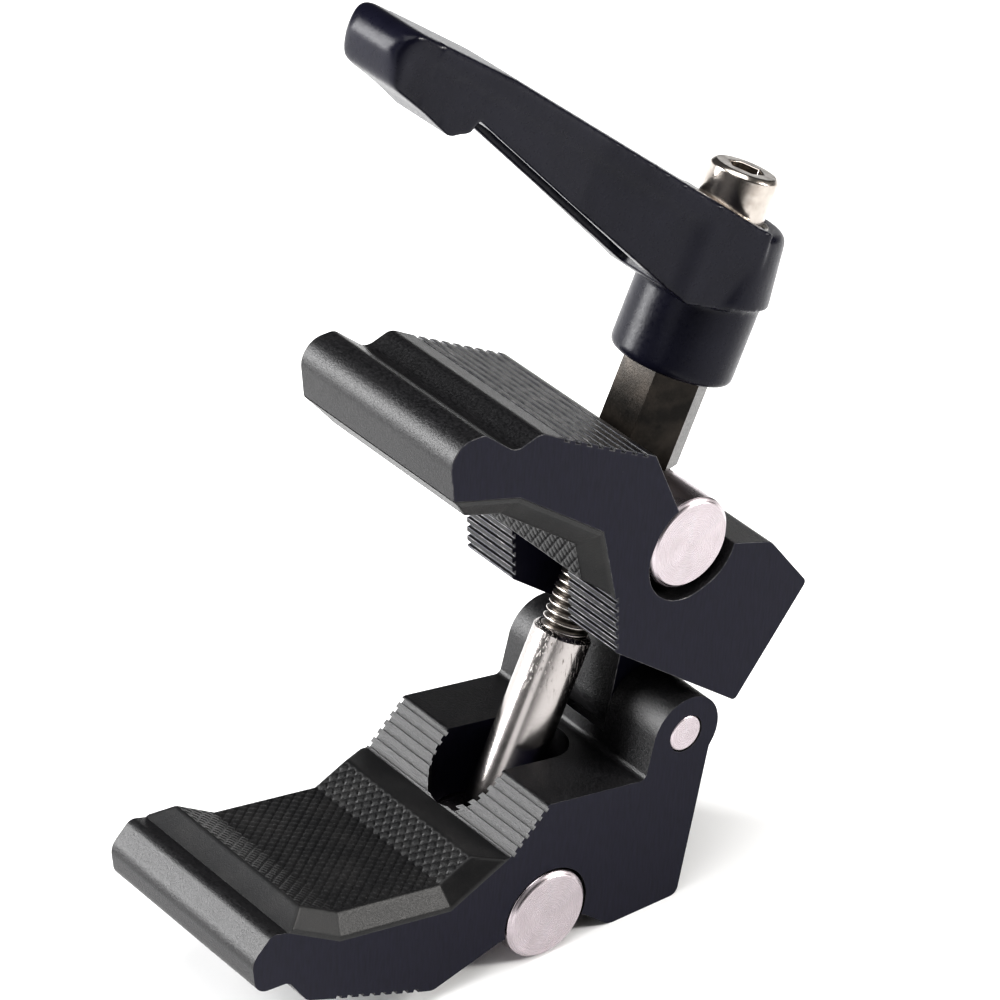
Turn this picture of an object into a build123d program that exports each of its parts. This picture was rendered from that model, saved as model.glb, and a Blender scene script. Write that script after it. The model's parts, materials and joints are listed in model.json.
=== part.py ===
from build123d import *
import math
import os

# Small super clamp: two hinged aluminium jaws closed by a screw with an
# adjustable lever. Millimetres, +Z up. The jaws are drawn about the hinge pin
# and the screw about its lower barrel; everything is then moved so that the
# origin lies under the middle of the whole clamp, on the surface it stands on.

# ---- driving dimensions -------------------------------------------------
jaw_width = 28.0            # both jaws are cut from one extruded section
cut_width = jaw_width + 2   # long enough for a cut right across a jaw
pin_reach = 27.5            # hinge pin to each barrel, the same in both jaws
lower_barrel_angle = 221.2  # direction from the hinge pin to each barrel
upper_barrel_angle = 92.7
running_gap = 0.05          # radial gap of a part that turns or slides
seat_gap = 0.3              # radial gap of a barrel in its open seat

hinge_pin_radius = 2.5
ear_radius = 5.1
tongue_width = 10.0
channel_width = 10.5        # slot for the screw and gap between the ears

barrel_radius = 6.0
barrel_chamfer = 0.6
lower_barrel_length = 29.0
upper_barrel_length = 27.2
seat_depth_spare = 0.9      # the upper barrel can sink this far in its seat

pad_thickness = 2.9
pad_bevel = 1.9             # how far the side bevels reach in
pad_edge = 0.5              # upright edge left round the foot of a pad
lower_pad_slopes = (1.8, 3.6)   # end bevels, at the nose and at the ramp
upper_pad_slopes = (4.3, 3.6)

stud_radius = 3.0
sleeve_radius = 3.7
sleeve_top = 31.5           # heights on the screw, from the lower barrel up
sleeve_floor = 5.5
sleeve_foot = -3.5
hex_seat_depth = 0.45       # flat on the upper barrel that the hex bears on
stud_tip = 19.5
hex_across_flats = 9.8
lever_bottom = 66.9
collar_height = 77.4
lever_top = 86.4
screw_head_top = 92.3
screw_seat = lever_top - 0.4    # underside of the cap screw's head
screw_head_radius = 4.3
socket_across_flats = 4.0
lever_lift = 3.7            # travel that frees the lever from its teeth

# ---- places worked out from them ----------------------------------------


def polar(radius, degrees):
    """A point at a distance and direction from the hinge pin, in X and Z."""
    return (radius * math.cos(math.radians(degrees)),
            radius * math.sin(math.radians(degrees)))


lower_pivot = polar(pin_reach, lower_barrel_angle)
upper_pivot = polar(pin_reach, upper_barrel_angle)
screw_run = (upper_pivot[0] - lower_pivot[0], upper_pivot[1] - lower_pivot[1])
screw_length = math.hypot(*screw_run)
screw_lean = math.degrees(math.atan2(*screw_run))
screw_axis = (screw_run[0] / screw_length, screw_run[1] / screw_length)
hex_bottom = screw_length + barrel_radius - 0.4
stud_top = hex_bottom + 10.5
# Frame of the screw: origin in the lower barrel, Z along the screw.
screw_frame = Pos(lower_pivot[0], 0, lower_pivot[1]) * Rot(0, screw_lean, 0)

# ---- helpers ------------------------------------------------------------


def side_plate(corners, width):
    """Extrude an outline (x, z, corner radius) evenly to both sides of Y = 0."""
    points = [(x, z) for x, z, radius in corners]
    radii = [radius for x, z, radius in corners]
    outline = FilletPolyline(*points, radius=radii, close=True)
    return extrude(Plane.XZ * make_face(outline), width / 2, both=True)


def cross_cylinder(centre, radius, length):
    """A cylinder across the clamp, along Y."""
    return Pos(centre[0], 0, centre[1]) * Rot(90, 0, 0) * Cylinder(radius, length)


def upright(radius, bottom, top):
    """A cylinder on the screw's axis, between two heights."""
    return Pos(0, 0, bottom) * Cylinder(
        radius, top - bottom, align=(Align.CENTER, Align.CENTER, Align.MIN))


def grooves(start, end, count, depth, width):
    """Square-bottomed grooves across a face that runs from start to end."""
    run = (end[0] - start[0], end[1] - start[1])
    slope = math.degrees(math.atan2(run[1], run[0]))
    cutters = []
    for index in range(count):
        share = (index + 0.5) / count
        place = Pos(start[0] + share * run[0], 0, start[1] + share * run[1])
        cutters.append(place * Rot(0, -slope, 0) * Box(width, cut_width, 2 * depth))
    return cutters


# ---- lower jaw ----------------------------------------------------------
# Corners about the hinge pin: the nose, the outside with its grip grooves,
# the seat of the barrel, the heel, the ears, and back along the inside.
lower_grip = [(-60.0, -4.1), (-52.3, -8.6), (-35.6, -11.4), (-26.9, -7.3)]
lower_ramp_top = (-21.3, -1.8)
lower_ribs = ((-53.0, -16.7), (-39.6, -21.6))
rib_grooves = (8, 0.35, 0.8)    # how many, how deep and how wide
ramp_grooves = (6, 0.5, 0.6)
heel_height = lower_pivot[1] - barrel_radius


def lower_jaw():
    outline = [(*lower_grip[0], 0), (-62.3, -3.4, 1.4), (-65.1, -6.3, 2.4), (-64.4, -11.1, 2.2),
               (-59.6, -11.4, 1.6), (-56.9, -15.2, 2.0), (*lower_ribs[0], 0),
               (*lower_ribs[1], 0), (-37.8, -22.2, 1.6), (-28.0, -19.5, 0.5),
               (lower_pivot[0], lower_pivot[1], 0), (-14.4, -21.0, 0.5),
               (-10.4, heel_height, 2.5), (0.5, heel_height, 1.2), (3.9, -3.6, 0),
               (4.9, 1.4, 0), (0, 0, 0), (-4.9, 1.4, 0), (-6.1, -4.4, 0.8),
               (*lower_ramp_top, 0.6), (*lower_grip[3], 0), (*lower_grip[2], 0),
               (*lower_grip[1], 0)]
    body = side_plate(outline, jaw_width)
    body += cross_cylinder((0, 0), ear_radius, jaw_width)
    body -= cross_cylinder((0, 0), hinge_pin_radius, cut_width)
    body -= cross_cylinder(lower_pivot, barrel_radius + seat_gap, cut_width)
    slot_front = lower_grip[3][0] + channel_width / 2
    slot_back = -8.0 - channel_width / 2
    slot = SlotCenterToCenter(slot_back - slot_front, channel_width)
    body -= Pos((slot_front + slot_back) / 2, 0, -30) * extrude(slot, 40)
    body -= cross_cylinder((0, 0), ear_radius + 1.0, channel_width)
    body -= Pos(0, 0, 4) * Box(30, channel_width, 12)
    body -= grooves(*lower_ribs, *rib_grooves)
    body -= grooves(lower_grip[3], lower_ramp_top, *ramp_grooves)
    return body


# ---- upper jaw ----------------------------------------------------------
upper_grip = [(-38.5, 46.9), (-28.7, 44.0), (-15.6, 34.6), (-13.1, 24.6)]
upper_ramp_end = (-12.5, 16.6)
upper_ribs = ((-22.9, 50.0), (-8.9, 42.8))
back_top = (17.9, 15.4)
back_bottom = (7.6, 1.9)
camera_thread_radius = 3.175   # 1/4 inch
light_thread_radius = 4.7625   # 3/8 inch
thread_depth = 10.0
thread_offset = 7.0
back_lean = math.degrees(math.atan2(back_top[0] - back_bottom[0], back_top[1] - back_bottom[1]))
back_middle = ((back_top[0] + back_bottom[0]) / 2, (back_top[1] + back_bottom[1]) / 2)
# Frame of the back face: Z points out of the face.
back_frame = Pos(back_middle[0], 0, back_middle[1]) * Rot(0, 90 + back_lean, 0)


seat_relief = (-0.75, 26.95)  # centre of the wider cut on the hinge side of the seat


def upper_seat():
    """The open seat: the barrel's circle, stretched towards the lower barrel."""
    radius = barrel_radius + seat_gap
    deep = (upper_pivot[0] - seat_depth_spare * screw_axis[0],
            upper_pivot[1] - seat_depth_spare * screw_axis[1])
    stretch = Box(2 * radius, cut_width, seat_depth_spare,
                  align=(Align.CENTER, Align.CENTER, Align.MIN))
    return [cross_cylinder(upper_pivot, radius, cut_width),
            cross_cylinder(deep, radius, cut_width),
            cross_cylinder(seat_relief, radius, cut_width),
            Pos(deep[0], 0, deep[1]) * Rot(0, screw_lean, 0) * stretch]


def screw_passage():
    """The slot that the screw swings in, from the seat out through the ramp."""
    clear = sleeve_radius + 0.6
    right = (upper_pivot[0] + clear * screw_axis[1], upper_pivot[1] - clear * screw_axis[0])
    low = (right[0] - 30 * screw_axis[0], right[1] - 30 * screw_axis[1])
    corners = [(-18.0, upper_grip[3][1] - 0.3, 0), (-3.0, upper_pivot[1], 0), (*right, 0),
               (*low, 0), (-30.0, low[1], 0)]
    return side_plate(corners, channel_width)


def upper_jaw():
    outline = [(*upper_grip[0], 0.4), (-39.5, 54.3, 3.0), (-34.4, 54.4, 1.8),
               (-29.6, 50.5, 2.2), (-26.0, 51.7, 2.0), (*upper_ribs[0], 0),
               (*upper_ribs[1], 0), (-8.2, 42.4, 0.6), (-3.8, 33.0, 0.3),
               (*upper_pivot, 0), (5.8, 25.3, 0.3), (11.4, 23.5, 2.5), (*back_top, 0.8),
               (*back_bottom, 0.6), (*upper_ramp_end, 0.9), (*upper_grip[3], 0),
               (*upper_grip[2], 0), (*upper_grip[1], 0)]
    body = side_plate(outline, jaw_width)
    round_end = cross_cylinder((0, 0), ear_radius - 0.3, tongue_width)
    neck = side_plate([(-4.8, 0, 0), (-3.2, 9.6, 0), (7.0, 3.0, 0), (4.8, 0, 0)], tongue_width)
    body += [round_end, neck]
    body -= cross_cylinder((0, 0), hinge_pin_radius + running_gap, jaw_width)
    body -= upper_seat()
    body -= screw_passage()
    body -= grooves(*upper_ribs, *rib_grooves)
    body -= grooves(upper_grip[3], upper_ramp_end, *ramp_grooves)
    for side, radius in ((-1, camera_thread_radius), (1, light_thread_radius)):
        hole = Pos(0, side * thread_offset, -thread_depth / 2) * Cylinder(radius, thread_depth)
        body -= back_frame * hole
    return body


# ---- rubber pads --------------------------------------------------------


def lies_on(edge, base):
    """Whether an edge's middle is on the base line of a pad."""
    middle = edge @ 0.5
    for start, end in zip(base, base[1:]):
        reach = math.hypot(middle.X - start[0], middle.Z - start[1])
        rest = math.hypot(middle.X - end[0], middle.Z - end[1])
        if reach + rest < math.hypot(end[0] - start[0], end[1] - start[1]) + 0.001:
            return True
    return False


def grip_pad(base, inward, slopes):
    """A bevelled pad over the three flats of a grip; inward is +1 below, -1 above."""
    def flat_normal(start, end):
        run = (end[0] - start[0], end[1] - start[1])
        length = math.hypot(*run)
        return (-inward * run[1] / length, inward * run[0] / length)

    normals = [flat_normal(base[i], base[i + 1]) for i in range(3)]
    top = []
    for index, point in enumerate(base):
        before = normals[max(index - 1, 0)]
        after = normals[min(index, 2)]
        mean = (before[0] + after[0], before[1] + after[1])
        scale = 2 * pad_thickness / (mean[0] ** 2 + mean[1] ** 2)
        top.append((point[0] + scale * mean[0], point[1] + scale * mean[1]))
    ends = []
    for end, step, slope in ((0, 1, slopes[0]), (3, 2, slopes[1])):
        run = (top[step][0] - top[end][0], top[step][1] - top[end][1])
        share = slope / math.hypot(*run)
        ends.append((top[end][0] + share * run[0], top[end][1] + share * run[1]))
    outline = [*base, ends[1], top[2], top[1], ends[0]]
    pad = side_plate([(x, z, 0) for x, z in outline], jaw_width)
    rim_height = pad_thickness - pad_edge
    for side in (-1, 1):
        face = pad.faces().sort_by(Axis.Y)[0 if side < 0 else -1]
        rim = [edge for edge in face.edges() if not lies_on(edge, base)]
        pad = chamfer(rim, rim_height, pad_bevel, reference=face)
    return pad


# ---- pins, barrels and screw --------------------------------------------


def hinge_pin():
    pin = cross_cylinder((0, 0), hinge_pin_radius, jaw_width)
    return chamfer(pin.edges().filter_by(GeomType.CIRCLE), 0.3)


def lower_barrel():
    barrel = Rot(90, 0, 0) * Cylinder(barrel_radius, lower_barrel_length)
    barrel = chamfer(barrel.edges().filter_by(GeomType.CIRCLE), barrel_chamfer)
    barrel -= upright(sleeve_radius, sleeve_foot, barrel_radius + 1)
    return screw_frame * barrel


def upper_barrel():
    barrel = Rot(90, 0, 0) * Cylinder(barrel_radius, upper_barrel_length)
    barrel = chamfer(barrel.edges().filter_by(GeomType.CIRCLE), barrel_chamfer)
    barrel -= upright(stud_radius + running_gap, -barrel_radius - 1, barrel_radius + 1)
    barrel -= upright(barrel_radius, barrel_radius - hex_seat_depth, barrel_radius + 1)
    return screw_frame * Pos(0, 0, screw_length) * barrel


def screw_sleeve():
    sleeve = upright(sleeve_radius, sleeve_foot, sleeve_top)
    sleeve = chamfer(sleeve.edges().group_by(Axis.Z)[-1], 0.5)
    sleeve -= upright(stud_radius + running_gap, sleeve_floor, sleeve_top)
    return screw_frame * sleeve


def clamp_stud():
    stud = upright(stud_radius, stud_tip, stud_top)
    return screw_frame * chamfer(stud.edges().group_by(Axis.Z)[0], 0.6)


# ---- lever --------------------------------------------------------------
teeth = 24
tooth_root = 5.3
tooth_tip = 5.9
teeth_bottom = lever_bottom + 1.5
teeth_top = teeth_bottom + lever_lift - 0.2
insert_top = teeth_top + 4.4
screw_shank_radius = 2.5
shoulder_bottom = insert_top + 1.0
shoulder_top = shoulder_bottom + 2.0
lever_reach = 66.4          # screw axis to the tip of the lever
arm_width = 10.6
arm_wall = 1.8
tip_radius = 2.5
boss_radius = 7.7
head_radius = 8.5           # at the collar; it narrows towards the top
head_top_radius = 7.4
tooth_gap = 0.15


def tooth_ring(root, tip, bottom, top):
    """A solid disc with straight triangular teeth, on the screw's axis."""
    points = []
    for index in range(teeth):
        points.append(polar(tip, 360 * index / teeth))
        points.append(polar(root, 360 * (index + 0.5) / teeth))
    disc = make_face(Polyline(*points, close=True))
    return Pos(0, 0, bottom) * extrude(disc, top - bottom)


def drive_hex():
    hexagon = RegularPolygon(hex_across_flats / 2, 6, major_radius=False, rotation=30)
    post = Pos(0, 0, hex_bottom) * extrude(hexagon, teeth_bottom - hex_bottom)
    post += tooth_ring(tooth_root, tooth_tip, teeth_bottom, teeth_top)
    post += upright(tooth_root - 0.5, teeth_top, insert_top)
    post -= upright(stud_radius, hex_bottom, stud_top + 0.3)
    post -= upright(screw_shank_radius, teeth_bottom, insert_top)
    return screw_frame * post


def lever_screw():
    screw = upright(screw_head_radius, screw_seat, screw_head_top)
    screw = chamfer(screw.edges().group_by(Axis.Z)[-1], 0.5)
    socket_depth = 3.2
    socket = RegularPolygon(socket_across_flats / 2, 6, major_radius=False)
    screw -= Pos(0, 0, screw_head_top) * extrude(socket, -socket_depth)
    screw += upright(screw_shank_radius, teeth_bottom + 0.5, screw_seat)
    return screw_frame * screw


def lever_spring():
    """The coil that pushes the lever down on to its teeth."""
    wire, turns, coil_radius = 0.35, 3.5, 3.7
    low = shoulder_top + wire + running_gap
    high = screw_seat - wire - running_gap
    path = Pos(0, 0, low) * Helix(
        pitch=(high - low) / turns, height=high - low, radius=coil_radius)
    section = Plane(path @ 0, z_dir=path % 0) * Circle(wire)
    return screw_frame * sweep(section, path)


def arm_under(reach):
    """Height of the arm's lower edge."""
    return 73.0 + 0.434 * reach


def arm_over(reach):
    """Height of the arm's upper edge."""
    return 86.9 + 0.281 * reach


def arm_outline():
    """The arm from the side: its two edges, the finger bump and the tip."""
    return [(4.0, arm_under(9.0), 0), (-9.0, arm_under(9.0), 0), (-50.2, arm_under(50.2), 0.4),
            (-50.8, 93.2, 0.8), (-53.8, 92.4, 1.2), (-58.8, 94.7, 2.0), (-64.8, 97.0, 2.0),
            (-lever_reach, 101.0, 1.6), (-65.0, 104.0, 2.2), (-47.0, arm_over(47.0), 0),
            (-2.0, arm_over(2.0), 0), (4.0, lever_top, 0)]


def arm_hollow():
    """The underside of the arm is open from the head to the finger bump."""
    near, far, drop = 10.6, 47.5, 4.0
    return side_plate([(-near, arm_under(near) - drop, 0), (-far, arm_under(far) - drop, 0),
                       (-far, arm_over(far) - arm_wall, 0), (-near, arm_over(near) - arm_wall, 0)],
                      arm_width - 2 * arm_wall)


def arm():
    """The arm's side outline, trimmed to a plan that widens towards the head."""
    half = arm_width / 2
    tip = -lever_reach
    middle = -30
    plan = [(0, -head_radius + 0.6), (middle, -half), (tip, -half), (tip, half),
            (middle, half), (0, head_radius - 0.6)]
    outline = FilletPolyline(*plan, radius=[0, 0, tip_radius, tip_radius, 0, 0], close=True)
    side = side_plate(arm_outline(), 3 * arm_width)
    return side & extrude(make_face(outline), 2 * lever_top, both=True)


def lever_handle():
    boss = upright(boss_radius, lever_bottom, collar_height + 1)
    boss = fillet(boss.edges().group_by(Axis.Z)[0], 0.9)
    head = Pos(0, 0, collar_height) * Cone(
        head_radius, head_top_radius, lever_top - collar_height,
        align=(Align.CENTER, Align.CENTER, Align.MIN))
    head = fillet(head.edges().group_by(Axis.Z)[-1], 1.2)
    handle = boss + head + arm()
    handle -= arm_hollow()
    handle -= upright(tooth_tip + 0.25, lever_bottom, teeth_bottom)
    handle -= tooth_ring(
        tooth_root + tooth_gap, tooth_tip + tooth_gap, teeth_bottom, teeth_top)
    handle -= upright(tooth_root - 0.2, teeth_top, shoulder_bottom)
    handle -= upright(screw_shank_radius + 0.3, shoulder_bottom, shoulder_top)
    handle -= upright(screw_head_radius + 0.4, shoulder_top, 2 * lever_top)
    return screw_frame * handle


# ---- the clamp ----------------------------------------------------------
parts = {
    "lower_jaw": lower_jaw(),
    "lower_jaw_pad": grip_pad(lower_grip, 1, lower_pad_slopes),
    "hinge_pin": hinge_pin(),
    "upper_jaw": upper_jaw(),
    "upper_jaw_pad": grip_pad(upper_grip, -1, upper_pad_slopes),
    "lower_barrel": lower_barrel(),
    "screw_sleeve": screw_sleeve(),
    "upper_barrel": upper_barrel(),
    "clamp_stud": clamp_stud(),
    "drive_hex": drive_hex(),
    "lever_screw": lever_screw(),
    "lever_spring": lever_spring(),
    "lever_handle": lever_handle(),
}

boxes = [solid.bounding_box() for solid in parts.values()]
left = min(box.min.X for box in boxes)
right = max(box.max.X for box in boxes)
bottom = min(box.min.Z for box in boxes)
stand = Pos(-(left + right) / 2, 0, -bottom)

os.makedirs("parts", exist_ok=True)
for name, solid in parts.items():
    export_step(stand * solid, f"parts/{name}.step")
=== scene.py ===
import json
import math

import bmesh
import bpy
from mathutils import Matrix, Vector


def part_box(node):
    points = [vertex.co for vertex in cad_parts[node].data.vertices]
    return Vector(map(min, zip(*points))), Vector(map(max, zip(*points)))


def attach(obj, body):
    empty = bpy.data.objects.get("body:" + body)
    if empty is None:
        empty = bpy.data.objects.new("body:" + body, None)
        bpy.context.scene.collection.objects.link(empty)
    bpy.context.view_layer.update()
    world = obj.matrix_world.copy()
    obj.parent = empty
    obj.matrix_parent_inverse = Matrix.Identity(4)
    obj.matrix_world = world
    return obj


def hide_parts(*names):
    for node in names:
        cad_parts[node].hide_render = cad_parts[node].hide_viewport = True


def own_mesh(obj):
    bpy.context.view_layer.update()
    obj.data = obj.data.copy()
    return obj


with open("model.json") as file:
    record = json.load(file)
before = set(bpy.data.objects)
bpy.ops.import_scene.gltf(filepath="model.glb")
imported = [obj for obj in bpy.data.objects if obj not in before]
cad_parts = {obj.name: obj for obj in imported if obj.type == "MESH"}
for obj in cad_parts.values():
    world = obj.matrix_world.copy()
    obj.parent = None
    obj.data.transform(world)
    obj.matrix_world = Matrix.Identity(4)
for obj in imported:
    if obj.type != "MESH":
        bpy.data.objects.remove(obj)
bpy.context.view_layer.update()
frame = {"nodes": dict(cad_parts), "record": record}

# Looks of the small super clamp. Lengths are in millimetres and are turned into
# metres where a mesh or a texture is made; places come from the CAD boxes.

mm = 0.001
along_pins = Vector((0, 1, 0))

# ---- the same measures as in the CAD part --------------------------------
# Grip points are (x, z) from the hinge pin's centre. Heights are along the
# screw's axis from the lower barrel's centre, and reach is from that axis
# towards the lever's tip.
jaw_width = 28.0
lower_grip = [(-60.0, -4.1), (-52.3, -8.6), (-35.6, -11.4), (-26.9, -7.3)]
upper_grip = [(-38.5, 46.9), (-28.7, 44.0), (-15.6, 34.6), (-13.1, 24.6)]
pad_thickness = 2.9
pad_bevel = 1.9                 # width of the bevel along both sides of a pad
pad_edge = 0.5                  # thickness of a pad at its sides
lower_pad_slopes = (1.8, 3.6)   # length of the bevels at a pad's two ends
upper_pad_slopes = (4.3, 3.6)
stud_radius = 3.0
stud_tip = 19.5                 # height of the stud's lower end, inside the sleeve
stud_beyond_barrel = 16.1       # length of the stud above the upper barrel's centre
sleeve_top = 31.5
lever_top = 86.4
counterbore_radius = 4.7
arm_over = 86.9                 # upper edge of the lever's arm, and its rise with reach
arm_over_rise = 0.281
arm_under = 73.0                # lower edge of the arm, and its rise with reach
arm_under_rise = 0.434


def middle(node_name):
    """The centre of a CAD part's box, in metres."""
    low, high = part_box(node_name)
    return (Vector(low) + Vector(high)) / 2


hinge = middle("hinge_pin")
screw_foot = middle("lower_barrel")
screw_run = middle("upper_barrel") - screw_foot
screw_axis = screw_run.normalized()
screw_side = along_pins.cross(screw_axis)
body_of = {node_name: body for body, node_names in frame["record"]["behaviour"]["bodies"].items()
           for node_name in node_names}


def from_hinge(point, across):
    """A point (x, z) from the hinge pin's centre and a place across, in metres."""
    return hinge + Vector((point.x, across, point.y)) * mm


def on_screw(radius, angle, height):
    """A point about the screw's axis, in metres."""
    return (screw_foot + screw_axis * height * mm
            + screw_side * radius * math.cos(angle) * mm
            + along_pins * radius * math.sin(angle) * mm)


def in_screw_frame(point):
    """Reach towards the lever's tip, place across and height, in millimetres."""
    out = (point - screw_foot) / mm
    return -out.dot(screw_side), out.y, out.dot(screw_axis)


# ---- camera --------------------------------------------------------------
camera_azimuth = math.radians(-40.66)
camera_elevation = math.radians(32.26)
camera_roll = math.radians(3.316)
camera_distance = 646.85 * mm
camera_target = hinge + Vector((-19.684, 0, 33.183)) * mm
camera_lens = 198.7
camera_sensor = 36


def add_camera():
    """The camera at the clamp's three-quarter view."""
    back = Vector((math.sin(camera_azimuth) * math.cos(camera_elevation),
                   -math.cos(camera_azimuth) * math.cos(camera_elevation),
                   math.sin(camera_elevation)))
    right = Vector((math.cos(camera_azimuth), math.sin(camera_azimuth), 0))
    up = back.cross(right)
    roll = Matrix.Rotation(camera_roll, 3, back)
    data = bpy.data.cameras.new("camera")
    data.lens = camera_lens
    data.sensor_width = camera_sensor
    camera = bpy.data.objects.new("camera", data)
    bpy.context.scene.collection.objects.link(camera)
    turn = Matrix((roll @ right, roll @ up, back)).transposed().to_4x4()
    camera.matrix_world = Matrix.Translation(camera_target + camera_distance * back) @ turn
    bpy.context.scene.camera = camera


# ---- shader nodes --------------------------------------------------------


def node(tree, kind, inputs=None, **settings):
    """Add a shader node, set its options and fill or link its inputs."""
    made = tree.nodes.new("ShaderNode" + kind)
    for key, value in settings.items():
        setattr(made, key, value)
    for key, value in (inputs or {}).items():
        if isinstance(value, bpy.types.NodeSocket):
            tree.links.new(value, made.inputs[key])
        else:
            made.inputs[key].default_value = value
    return made


def place(tree, scale=(1, 1, 1), turn=(0, 0, 0), centre=(0, 0, 0)):
    """Object coordinates about a centre, turned and stretched."""
    coordinates = node(tree, "TexCoord").outputs["Object"]
    moved = node(tree, "VectorMath", {0: coordinates, 1: centre}, operation="SUBTRACT")
    mapping = node(tree, "Mapping", {"Vector": moved.outputs[0], "Rotation": turn,
                                     "Scale": scale})
    return mapping.outputs[0]


def noise(tree, size, vector=None, detail=3.0, roughness=0.55):
    """Noise from 0 to 1 with lumps of about this size in millimetres."""
    vector = vector or place(tree)
    made = node(tree, "TexNoise", {"Vector": vector, "Scale": 1 / (size * mm),
                                   "Detail": detail, "Roughness": roughness})
    return made.outputs["Fac"]


def between(tree, value, low, high, first=0.0, last=1.0):
    """Map a value from one range to another, and clamp it."""
    return node(tree, "MapRange", {"Value": value, "From Min": low, "From Max": high,
                                   "To Min": first, "To Max": last}).outputs[0]


def maths(tree, operation, first, second):
    """Two values added, multiplied or the like."""
    return node(tree, "Math", {0: first, 1: second}, operation=operation).outputs[0]


def blend_colour(tree, share, first, second):
    """Two colours mixed by a share from 0 to 1."""
    made = tree.nodes.new("ShaderNodeMix")
    made.data_type = "RGBA"
    tree.links.new(share, made.inputs[0])
    # The node's sockets for colours are 6 and 7 in, and 2 out.
    for index, colour in ((6, first), (7, second)):
        if isinstance(colour, bpy.types.NodeSocket):
            tree.links.new(colour, made.inputs[index])
        else:
            made.inputs[index].default_value = (*colour, 1)
    return made.outputs[2]


def bump(tree, height, depth):
    """Bump whose full height is a depth in millimetres."""
    return node(tree, "Bump", {"Height": height, "Distance": depth * mm,
                               "Strength": 1.0}).outputs[0]


def new_material(name, metallic=0.0, specular=0.5):
    """A new material: itself, its node tree and its shader."""
    made = bpy.data.materials.new(name)
    made.use_nodes = True
    shader = made.node_tree.nodes["Principled BSDF"]
    shader.inputs["Metallic"].default_value = metallic
    shader.inputs["Specular IOR Level"].default_value = specular
    return made, made.node_tree, shader


def connect(tree, shader, colour, roughness, normal=None):
    """Link colour, roughness and normal to the shader."""
    tree.links.new(colour, shader.inputs["Base Color"])
    tree.links.new(roughness, shader.inputs["Roughness"])
    if normal:
        tree.links.new(normal, shader.inputs["Normal"])


def around_screw(tree):
    """Distance from the screw's axis and height along it, in metres."""
    coordinates = node(tree, "TexCoord").outputs["Object"]
    out = node(tree, "VectorMath", {0: coordinates, 1: screw_foot}, operation="SUBTRACT")
    height = node(tree, "VectorMath", {0: out.outputs[0], 1: screw_axis},
                  operation="DOT_PRODUCT").outputs["Value"]
    along = node(tree, "VectorMath", {0: screw_axis, "Scale": height}, operation="SCALE")
    off = node(tree, "VectorMath", {0: out.outputs[0], 1: along.outputs[0]},
               operation="SUBTRACT")
    radius = node(tree, "VectorMath", {0: off.outputs[0]}, operation="LENGTH")
    return radius.outputs["Value"], height


# ---- materials -----------------------------------------------------------
saw_lean = math.radians(38)
tool_mark_scale = 900.0             # puts the rings about a third of a millimetre apart
scratched_length = 9                # length of the sleeve's scratched end
dark_root_radius = 2.55                # the thread is dark below this
bright_radius = 2.95                # and bright from here
bare_ring = (0.45, 0.30)            # coated and bare distances from the counterbore's wall
bare_depth = (0.6, 0.5)             # coated and bare depths below the lever's top


def blasted_aluminium():
    """The jaws' extruded skin: sand-blasted and black anodised."""
    made, tree, shader = new_material("blasted_aluminium", specular=0.30)
    blast = noise(tree, 0.30, detail=5, roughness=0.7)
    cloud = noise(tree, 9.0)
    skin = blend_colour(tree, between(tree, blast, 0.38, 0.72), (0.002, 0.002, 0.0025),
                        (0.024, 0.0235, 0.025))
    dusty = blend_colour(tree, between(tree, cloud, 0.45, 0.8, 0.0, 0.35), skin,
                         (0.012, 0.0115, 0.0115))
    connect(tree, shader, dusty, between(tree, blast, 0.3, 0.8, 0.28, 0.40),
            bump(tree, blast, 0.06))
    return made


def sawn_aluminium():
    """The jaws' cut side faces: flat, fine-grained and black anodised, with a blue cast of
    painted reflection.
    """
    made, tree, shader = new_material("sawn_aluminium", specular=0.12)
    saw = noise(tree, 0.35, place(tree, (1, 1, 0.14), (0, saw_lean, 0)), 4)
    fleck = noise(tree, 0.5, detail=4, roughness=0.7)
    # The blue cast of both cut colours is painted reflection; the anodised cut itself is black.
    cut = blend_colour(tree, between(tree, saw, 0.3, 0.7), (0.0040, 0.0038, 0.010),
                       (0.0085, 0.0082, 0.0185))
    speckled = blend_colour(tree, between(tree, fleck, 0.68, 0.74, 0.0, 0.6), cut,
                            (0.035, 0.034, 0.036))
    connect(tree, shader, speckled, between(tree, saw, 0.3, 0.7, 0.32, 0.44),
            bump(tree, saw, 0.012))
    return made


def worn_edge():
    """The thin edges of the jaws, where handling has rubbed the black coat."""
    made, tree, shader = new_material("worn_edge", metallic=0.5)
    rub = noise(tree, 1.6, detail=6, roughness=0.7)
    colour = blend_colour(tree, between(tree, rub, 0.45, 0.72), (0.020, 0.020, 0.026),
                          (0.13, 0.127, 0.124))
    connect(tree, shader, colour, between(tree, rub, 0.3, 0.7, 0.42, 0.3),
            bump(tree, noise(tree, 0.3), 0.02))
    return made


def rubber():
    """Black moulded rubber, greyer where it has been rubbed."""
    made, tree, shader = new_material("rubber", specular=0.28)
    fine = noise(tree, 0.22, detail=5, roughness=0.7)
    scuff = noise(tree, 5.0, detail=5, roughness=0.65)
    colour = blend_colour(tree, between(tree, scuff, 0.45, 0.75), (0.004, 0.004, 0.0045),
                          (0.012, 0.0115, 0.0115))
    shader.inputs["Sheen Weight"].default_value = 0.04
    shader.inputs["Sheen Roughness"].default_value = 0.5
    connect(tree, shader, colour, between(tree, fine, 0.3, 0.7, 0.34, 0.48),
            bump(tree, fine, 0.03))
    return made


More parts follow.
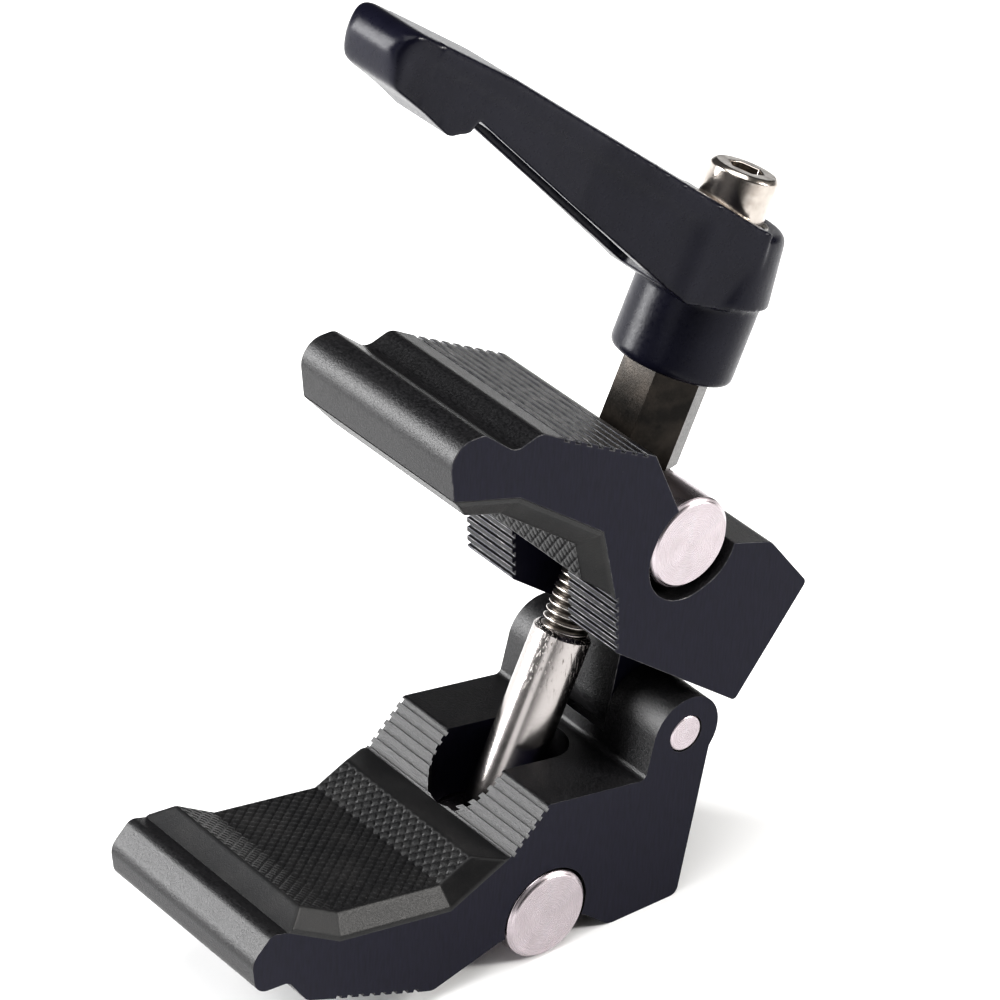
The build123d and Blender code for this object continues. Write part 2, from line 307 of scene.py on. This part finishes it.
def turned_steel(name, centre):
    """Turned steel with concentric tool marks about a pin's centre."""
    made, tree, shader = new_material(name, metallic=1.0)
    about = place(tree, centre=centre)
    rings = node(tree, "TexWave", {"Vector": about, "Scale": tool_mark_scale,
                                   "Distortion": 0.25, "Detail": 2.0},
                 wave_type="RINGS", rings_direction="Y").outputs["Fac"]
    stain = noise(tree, 2.2, detail=5)
    colour = blend_colour(tree, between(tree, stain, 0.35, 0.75), (0.53, 0.475, 0.50),
                          (0.46, 0.41, 0.43))
    roughness = between(tree, maths(tree, "ADD", rings, stain), 0.5, 1.5, 0.24, 0.40)
    connect(tree, shader, colour, roughness, bump(tree, rings, 0.0035))
    return made


def nickel_plate():
    """Bright nickel with fine turning marks, scratched where the sleeve ends."""
    made, tree, shader = new_material("nickel_plate", metallic=1.0)
    height = around_screw(tree)[1]
    near_top = between(tree, height, (sleeve_top - scratched_length) * mm, sleeve_top * mm)
    lean = math.atan2(screw_axis.x, screw_axis.z)
    streak = noise(tree, 0.5, place(tree, (0.1, 0.1, 1.6), (0, -lean, 0)), 5)
    scratch = noise(tree, 0.4, place(tree, (1.6, 1.6, 0.12), (0, -lean + 0.5, 0.4)), 4)
    marks = maths(tree, "MULTIPLY", between(tree, scratch, 0.58, 0.66), near_top)
    colour = blend_colour(tree, marks, (0.40, 0.375, 0.365), (0.20, 0.18, 0.165))
    roughness = maths(tree, "ADD", between(tree, streak, 0.3, 0.7, 0.19, 0.24),
                      maths(tree, "MULTIPLY", marks, 0.25))
    connect(tree, shader, colour, roughness, bump(tree, marks, 0.03))
    return made


def polished_nickel():
    """The cap screw's head: polished, with faint hazy patches."""
    made, tree, shader = new_material("polished_nickel", metallic=1.0)
    haze = noise(tree, 1.8, detail=4)
    colour = blend_colour(tree, between(tree, haze, 0.4, 0.75), (0.50, 0.46, 0.42),
                          (0.34, 0.30, 0.27))
    connect(tree, shader, colour, between(tree, haze, 0.35, 0.75, 0.16, 0.30),
            bump(tree, noise(tree, 0.4), 0.006))
    return made


def threaded_steel():
    """Rolled thread: bright crests, darker towards the roots."""
    made, tree, shader = new_material("threaded_steel", metallic=1.0)
    radius = around_screw(tree)[0]
    crest = between(tree, radius, dark_root_radius * mm, bright_radius * mm)
    stain = noise(tree, 1.4, detail=5)
    bright = blend_colour(tree, between(tree, stain, 0.35, 0.7), (0.62, 0.59, 0.56),
                          (0.42, 0.38, 0.35))
    colour = blend_colour(tree, crest, (0.06, 0.052, 0.045), bright)
    connect(tree, shader, colour, between(tree, crest, 0, 1, 0.5, 0.26),
            bump(tree, noise(tree, 0.3), 0.015))
    return made


def black_oxide_steel():
    """Dark oxide with a brown cast, oily and slightly blotched."""
    made, tree, shader = new_material("black_oxide_steel", metallic=0.5, specular=0.25)
    blotch = noise(tree, 3.0, detail=5)
    fine = noise(tree, 0.3, detail=4)
    colour = blend_colour(tree, between(tree, blotch, 0.35, 0.7), (0.012, 0.0105, 0.009),
                          (0.042, 0.035, 0.029))
    connect(tree, shader, colour, between(tree, fine, 0.3, 0.7, 0.28, 0.44),
            bump(tree, fine, 0.015))
    return made


def coated_zinc():
    """Satin black coat on the die-cast lever with a blue cast of painted reflection, and a bare
    ring round the cap screw.
    """
    made, tree, shader = new_material("coated_zinc", specular=0.15)
    radius, height = around_screw(tree)
    peel = noise(tree, 0.55, detail=2)
    cloud = noise(tree, 7.0, detail=4)
    # The blue cast of the coat colours is painted reflection; the coat itself is black.
    coat = blend_colour(tree, between(tree, cloud, 0.35, 0.75), (0.0035, 0.0035, 0.0085),
                        (0.007, 0.007, 0.014))
    coated, rubbed = bare_ring
    inner = between(tree, radius, (counterbore_radius + coated) * mm,
                    (counterbore_radius + rubbed) * mm)
    coated, rubbed = bare_depth
    upper = between(tree, height, (lever_top - coated) * mm, (lever_top - rubbed) * mm)
    bare = maths(tree, "MULTIPLY", inner, upper)
    colour = blend_colour(tree, bare, coat, (0.75, 0.72, 0.68))
    tree.links.new(bare, shader.inputs["Metallic"])
    connect(tree, shader, colour, between(tree, peel, 0.3, 0.7, 0.26, 0.34),
            bump(tree, peel, 0.018))
    return made


def spring_steel():
    """Drawn spring wire, slightly heat-tinted."""
    made, tree, shader = new_material("spring_steel", metallic=1.0)
    tint = noise(tree, 1.0, detail=3)
    colour = blend_colour(tree, between(tree, tint, 0.35, 0.7), (0.45, 0.44, 0.43),
                          (0.30, 0.26, 0.22))
    connect(tree, shader, colour, between(tree, tint, 0.3, 0.7, 0.25, 0.4),
            bump(tree, noise(tree, 0.2), 0.01))
    return made


def studio_white():
    """Pale sweep with a trace of unevenness."""
    made, tree, shader = new_material("studio_white", specular=0.2)
    shade = noise(tree, 60.0, detail=2)
    colour = blend_colour(tree, shade, (0.90, 0.90, 0.90), (0.92, 0.92, 0.92))
    connect(tree, shader, colour, between(tree, shade, 0, 1, 0.8, 0.9))
    return made


# ---- pieces --------------------------------------------------------------
merge_distance = 0.001 * mm
flat_angle = math.radians(0.3)      # faces that meet at less than this are joined up
sharp_angle = math.radians(25)      # edges above this stay sharp and get a bevel
side_direction = 0.9                # a face is a cut side if its normal is this far across


def add_piece(name, mesh, node_name, materials):
    """Put a mesh in the scene in place of a CAD part, riding on its body."""
    marks = [polygon.material_index for polygon in mesh.polygons]
    mesh.materials.clear()      # which resets the faces' marks
    for material in materials:
        mesh.materials.append(material)
    mesh.polygons.foreach_set("material_index", marks)
    piece = bpy.data.objects.new(name, mesh)
    bpy.context.scene.collection.objects.link(piece)
    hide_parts(node_name)
    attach(piece, body_of[node_name])
    return piece


def fill_mesh(mesh, work):
    """Move worked geometry into a mesh, shaded smooth."""
    for face in work.faces:
        face.smooth = True
    work.to_mesh(mesh)
    work.free()


def cleaned_copy(node_name, side_material):
    """A copy of a CAD part's mesh with its flat faces joined up and its sides marked."""
    mesh = frame["nodes"][node_name].data.copy()
    work = bmesh.new()
    work.from_mesh(mesh)
    bmesh.ops.remove_doubles(work, verts=work.verts, dist=merge_distance)
    bmesh.ops.dissolve_limit(work, angle_limit=flat_angle, verts=work.verts,
                             edges=work.edges)
    fill_mesh(mesh, work)
    mesh.set_sharp_from_angle(angle=sharp_angle)
    for polygon in mesh.polygons:
        # Cut sides take their own material, whose blue cast is painted reflection.
        if abs(polygon.normal.y) > side_direction:
            polygon.material_index = side_material
    return mesh


def softened(name, node_name, materials, width):
    """A CAD part with its sharp edges broken by a small rounded bevel."""
    mesh = cleaned_copy(node_name, side_material=min(1, len(materials) - 1))
    piece = add_piece(name, mesh, node_name, materials)
    bevel = piece.modifiers.new("edges", "BEVEL")
    bevel.width = width * mm
    bevel.segments = 2
    bevel.limit_method = "ANGLE"
    bevel.angle_limit = sharp_angle
    bevel.material = len(materials) - 1
    level = piece.modifiers.new("level", "WEIGHTED_NORMAL")
    level.weight = 100          # flat faces keep their own shading
    level.keep_sharp = False


def jaws():
    """Both jaws: blasted skin, sawn sides and worn edges."""
    materials = [blasted_aluminium(), sawn_aluminium(), worn_edge()]
    for jaw in ("lower_jaw", "upper_jaw"):
        softened(jaw + "_block", jaw, materials, width=0.22)


def turned_pins():
    """The hinge pin and both barrels, each with tool marks about its own centre."""
    for pin in ("hinge_pin", "lower_barrel", "upper_barrel"):
        steel = turned_steel(pin + "_steel", middle(pin))
        softened(pin + "_turned", pin, [steel], width=0.12)


# ---- forms that pieces share ---------------------------------------------


def soft_least(first, second, blend=0.10):
    """The lesser of two values, rounded where they cross."""
    share = max(blend - abs(first - second), 0) / blend
    return min(first, second) - share * share * blend / 4


def wave(value):
    """A triangle wave: 1 at whole numbers and 0 halfway between them."""
    return abs(value - math.floor(value) - 0.5) * 2


def smooth(value):
    """An eased step from 0 to 1 as the value goes from 0 to 1."""
    value = min(max(value, 0), 1)
    return value * value * (3 - 2 * value)


def faces_between(work, rows):
    """Faces from each row of points to the next, closed round the rows."""
    for low, high in zip(rows, rows[1:]):
        for index in range(len(low)):
            after = (index + 1) % len(low)
            work.faces.new((low[index], low[after], high[after], high[index]))


# ---- rubber pads ---------------------------------------------------------
pad_step = 0.16                 # size of the sheet's squares
relief = 0.17                   # depth of the moulded grooves
diamond_length = 1.75
diamond_width = 1.35
groove_edge = 0.66              # a groove starts here, on a wave that is 1 at its middle,
groove_slope = 0.30             # and is full depth this much further on
plain_margin = 0.1              # rim of the flat face without grooves, and its fade
margin_fade = 0.3
pad_merge = 0.002 * mm
pad_sliver = 0.001 * mm
pad_sharp_angle = math.radians(50)


def pad_surface(base, inward):
    """The corners of a pad's outer face, one above each corner of its base."""
    normals = []
    for start, end in zip(base, base[1:]):
        run = Vector(end) - Vector(start)
        normals.append(Vector((-inward * run.y, inward * run.x)) / run.length)
    outer = []
    for index, point in enumerate(base):
        mean = normals[max(index - 1, 0)] + normals[min(index, len(normals) - 1)]
        outer.append(Vector(point) + 2 * pad_thickness * mean / mean.length_squared)
    return outer


def pad_stations(base, outer):
    """Steps along a pad: distance along its outer face, point on its base, point above."""
    travelled = 0
    for index, (start, end) in enumerate(zip(outer, outer[1:])):
        length = (end - start).length
        steps = round(length / pad_step)
        first = 0 if index == 0 else 1
        for step in range(first, steps + 1):
            share = step / steps
            foot = Vector(base[index]).lerp(Vector(base[index + 1]), share)
            yield travelled + share * length, foot, start.lerp(end, share)
        travelled += length


def diamond_grooves(along, across):
    """Depth of the moulded texture: fine crossed grooves round raised diamonds."""
    first = wave(along / diamond_length + across / diamond_width)
    second = wave(along / diamond_length - across / diamond_width)
    return smooth((max(first, second) - groove_edge) / groove_slope)


def pad_height(along, across, total, slopes):
    """Height of a pad's face over its base, as a share of the pad's thickness."""
    rise = soft_least(along / slopes[0], (total - along) / slopes[1])
    side = pad_edge + (pad_thickness - pad_edge) * (jaw_width / 2 - abs(across)) / pad_bevel
    height = soft_least(soft_least(rise, side / pad_thickness), 1.0)
    inside = min(along - slopes[0], total - along - slopes[1],
                 jaw_width / 2 - pad_bevel - abs(across))
    dip = relief * smooth((inside - plain_margin) / margin_fade)
    if dip > 0:
        height -= dip * diamond_grooves(along, across) / pad_thickness
    return max(height, 0)


def moulded_pad(name, node_name, base, inward, slopes, material):
    """A pad as a fine sheet over its base, with bevelled rims and moulded texture."""
    outer = pad_surface(base, inward)
    total = sum((end - start).length for start, end in zip(outer, outer[1:]))
    columns = round(jaw_width / pad_step)
    places = [(column / columns - 0.5) * jaw_width for column in range(columns + 1)]
    work = bmesh.new()
    rows = []
    for along, foot, head in pad_stations(base, outer):
        row = []
        for across in places:
            point = foot + pad_height(along, across, total, slopes) * (head - foot)
            row.append(work.verts.new(from_hinge(point, across)))
        # Known fault: the base's +Y point comes one place early in the row. It folds the
        # outermost step of that side over itself and turns the upper pad's faces inwards.
        for across, index in ((-jaw_width / 2, 0), (jaw_width / 2, len(row))):
            row.insert(index, work.verts.new(from_hinge(foot, across)))
        rows.append(row)
    faces_between(work, rows)
    work.faces.new(rows[0])
    work.faces.new(rows[-1][::-1])
    bmesh.ops.remove_doubles(work, verts=work.verts, dist=pad_merge)
    bmesh.ops.dissolve_degenerate(work, edges=work.edges, dist=pad_sliver)
    bmesh.ops.recalc_face_normals(work, faces=work.faces)
    mesh = bpy.data.meshes.new(name)
    fill_mesh(mesh, work)
    mesh.set_sharp_from_angle(angle=pad_sharp_angle)
    add_piece(name, mesh, node_name, [material])


def rubber_pads():
    """Both jaws' pads, in one rubber."""
    material = rubber()
    moulded_pad("lower_pad", "lower_jaw_pad", lower_grip, 1, lower_pad_slopes, material)
    moulded_pad("upper_pad", "upper_jaw_pad", upper_grip, -1, upper_pad_slopes, material)


# ---- screw thread and spring ---------------------------------------------
thread_pitch = 1.0
thread_root = 2.42
thread_run_in = 0.8             # length over which the thread grows from the tip
thread_sides = 40
thread_steps = 9                # rings of points in one turn
crest_steepness = 1.3           # these two give flat crests and roots with flanks between
crest_offset = 0.12
spring_low = 79.7
spring_high = 85.6
spring_radius = 3.7
spring_turns = 3.5
spring_steps = 40               # rings of points in one turn
wire_radius = 0.34
wire_sides = 10
tube_sharp_angle = math.radians(60)


def tube(name, rings):
    """A closed mesh through rings of points, with flat ends."""
    work = bmesh.new()
    rows = [[work.verts.new(point) for point in ring] for ring in rings]
    faces_between(work, rows)
    work.faces.new(rows[0][::-1])
    work.faces.new(rows[-1])
    bmesh.ops.recalc_face_normals(work, faces=work.faces)
    mesh = bpy.data.meshes.new(name)
    fill_mesh(mesh, work)
    mesh.set_sharp_from_angle(angle=tube_sharp_angle)
    return mesh


def threaded_stud(material):
    """The stud with a real helical M6 thread, rolled from end to end."""
    top = screw_run.length / mm + stud_beyond_barrel
    steps = round((top - stud_tip) / thread_pitch * thread_steps)
    rings = []
    for step in range(steps + 1):
        height = stud_tip + (top - stud_tip) * step / steps
        start = smooth((height - stud_tip) / thread_run_in)
        ring = []
        for index in range(thread_sides):
            phase = height / thread_pitch - index / thread_sides
            crest = min(max(crest_steepness * wave(phase) - crest_offset, 0), 1)
            radius = thread_root + (stud_radius - thread_root) * crest * start
            ring.append(on_screw(radius, 2 * math.pi * index / thread_sides, height))
        rings.append(ring)
    add_piece("threaded_stud", tube("threaded_stud", rings), "clamp_stud", [material])


def coil_spring(material):
    """The lever's spring at one fixed length, though lifting the lever presses it together."""
    steps = round(spring_turns * spring_steps)
    rings = []
    for step in range(steps + 1):
        turn = 2 * math.pi * step / spring_steps
        height = spring_low + (spring_high - spring_low) * step / steps
        ring = []
        for index in range(wire_sides):
            lean = 2 * math.pi * index / wire_sides
            ring.append(on_screw(spring_radius + wire_radius * math.cos(lean), turn,
                                 height + wire_radius * math.sin(lean)))
        rings.append(ring)
    piece = add_piece("coil_spring", tube("coil_spring", rings), "lever_spring", [material])
    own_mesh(piece)


# ---- lever ---------------------------------------------------------------
lever_voxel = 0.26
arm_start = 9.5                 # reach at which the arm leaves the boss
arm_margin = 2.5                # band along the arm's lower edge that is left crisper
knob_start = 65.4
knob_round = 60.0               # reach from which the tip is rounded most
knob_blend = 4                  # and the length before it that is smoothed with the arm
panel_depth = 0.5
panel_rim = 2.4                 # rim between the panel and the arm's upper edge
panel_half_width = 4.2          # distance from the arm's middle where the sinking starts
boss_fade = 3                   # lengths over which a panel fades in or out
knob_fade = 1.6
rim_fade = 1.2
side_fade = 0.6
overall_rounds = 5              # rounds of smoothing: everywhere, on the arm, at the tip
arm_rounds = 12
knob_rounds = 26


def remeshed(node_name):
    """A CAD part's mesh as an even skin of small squares."""
    rough = bpy.data.objects.new("rough_lever", frame["nodes"][node_name].data.copy())
    bpy.context.scene.collection.objects.link(rough)
    remesh = rough.modifiers.new("cast", "REMESH")
    remesh.mode = "VOXEL"
    remesh.voxel_size = lever_voxel * mm
    graph = bpy.context.evaluated_depsgraph_get()
    graph.update()
    mesh = bpy.data.meshes.new_from_object(rough.evaluated_get(graph))
    bpy.data.objects.remove(rough)
    return mesh


def panel(reach, across, height):
    """How far a side panel is sunk at a point, from 0 to 1."""
    under_rim = arm_over + arm_over_rise * reach - panel_rim - height
    return (smooth((reach - arm_start) / boss_fade) * smooth((knob_start - reach) / knob_fade)
            * smooth(under_rim / rim_fade)
            * smooth((abs(across) - panel_half_width) / side_fade))


def is_arm(reach, height):
    """Whether a point is on the arm or the tip, clear of the boss and the lower edge."""
    under = arm_under + arm_margin + arm_under_rise * reach
    return reach > knob_round - knob_blend or (reach > arm_start and height > under)


def smooth_verts(work, verts, rounds):
    """Even out some of a mesh's points, a number of times."""
    for _ in range(rounds):
        bmesh.ops.smooth_vert(work, verts=verts, factor=0.5, use_axis_x=True,
                              use_axis_y=True, use_axis_z=True)


def cast_lever(material):
    """The lever as a casting: rounded all over, its side panels sunk from boss to tip."""
    mesh = remeshed("lever_handle")
    work = bmesh.new()
    work.from_mesh(mesh)
    for vert in work.verts:
        reach, across, height = in_screw_frame(vert.co)
        sunk = panel(reach, across, height) * panel_depth * mm
        vert.co.y -= math.copysign(sunk, across)
    arm = []
    for vert in work.verts:
        reach, across, height = in_screw_frame(vert.co)
        if is_arm(reach, height):
            arm.append(vert)
    smooth_verts(work, work.verts, overall_rounds)
    smooth_verts(work, arm, arm_rounds)
    knob = [vert for vert in work.verts if in_screw_frame(vert.co)[0] > knob_round]
    smooth_verts(work, knob, knob_rounds)
    fill_mesh(mesh, work)
    add_piece("cast_lever", mesh, "lever_handle", [material])


# ---- studio --------------------------------------------------------------
floor_size = 6
light_aim = Vector((0, 0, 0.06))
surround_on_object = 0.08       # strength of the white surround as light,
surround_seen = 1.0             # and as the camera sees it


def add_light(name, place_at, size, power, tint=(1, 1, 1)):
    """A soft rectangular light that looks at the clamp, in metres and watts."""
    data = bpy.data.lights.new(name, "AREA")
    data.shape = "RECTANGLE"
    data.size, data.size_y = size
    data.energy = power
    data.color = tint
    light = bpy.data.objects.new(name, data)
    bpy.context.scene.collection.objects.link(light)
    light.location = place_at
    light.rotation_euler = (light_aim - Vector(place_at)).to_track_quat("-Z", "Y").to_euler()


def add_floor():
    """A pale floor that is part of the studio only."""
    bpy.ops.mesh.primitive_plane_add(size=floor_size)
    floor = bpy.context.object
    floor.name = "floor"
    floor.data.materials.append(studio_white())


def add_surround():
    """White all round for the camera, and only faint light from it."""
    world = bpy.data.worlds.new("studio")
    bpy.context.scene.world = world
    world.use_nodes = True
    seen = node(world.node_tree, "LightPath").outputs["Is Camera Ray"]
    strength = between(world.node_tree, seen, 0, 1, surround_on_object, surround_seen)
    surround = world.node_tree.nodes["Background"]
    surround.inputs["Color"].default_value = (1, 1, 1, 1)
    world.node_tree.links.new(strength, surround.inputs["Strength"])


def studio():
    """Pale floor, soft lights and an even surround."""
    add_floor()
    add_light("overhead", (-0.1, -0.1, 1.25), size=(1.1, 1.1), power=15)
    add_light("back_left_box", (-0.80, 0.78, 0.46), size=(0.45, 0.95), power=32)
    add_light("left_box", (-1.0, -0.30, 0.40), size=(0.4, 0.8), power=1.5)
    add_light("right_box", (0.76, -0.60, 0.46), size=(0.20, 0.30), power=9, tint=(1, 0.98, 0.95))
    add_surround()
    bpy.context.scene.view_settings.view_transform = "Standard"
    bpy.context.scene.view_settings.look = "Medium High Contrast"


# ---- everything together -------------------------------------------------
add_camera()
jaws()
rubber_pads()
turned_pins()
softened("plated_sleeve", "screw_sleeve", [nickel_plate()], width=0.15)
threaded_stud(threaded_steel())
softened("oxide_hex", "drive_hex", [black_oxide_steel()], width=0.2)
softened("cap_screw", "lever_screw", [polished_nickel()], width=0.25)
cast_lever(coated_zinc())
coil_spring(spring_steel())
studio()
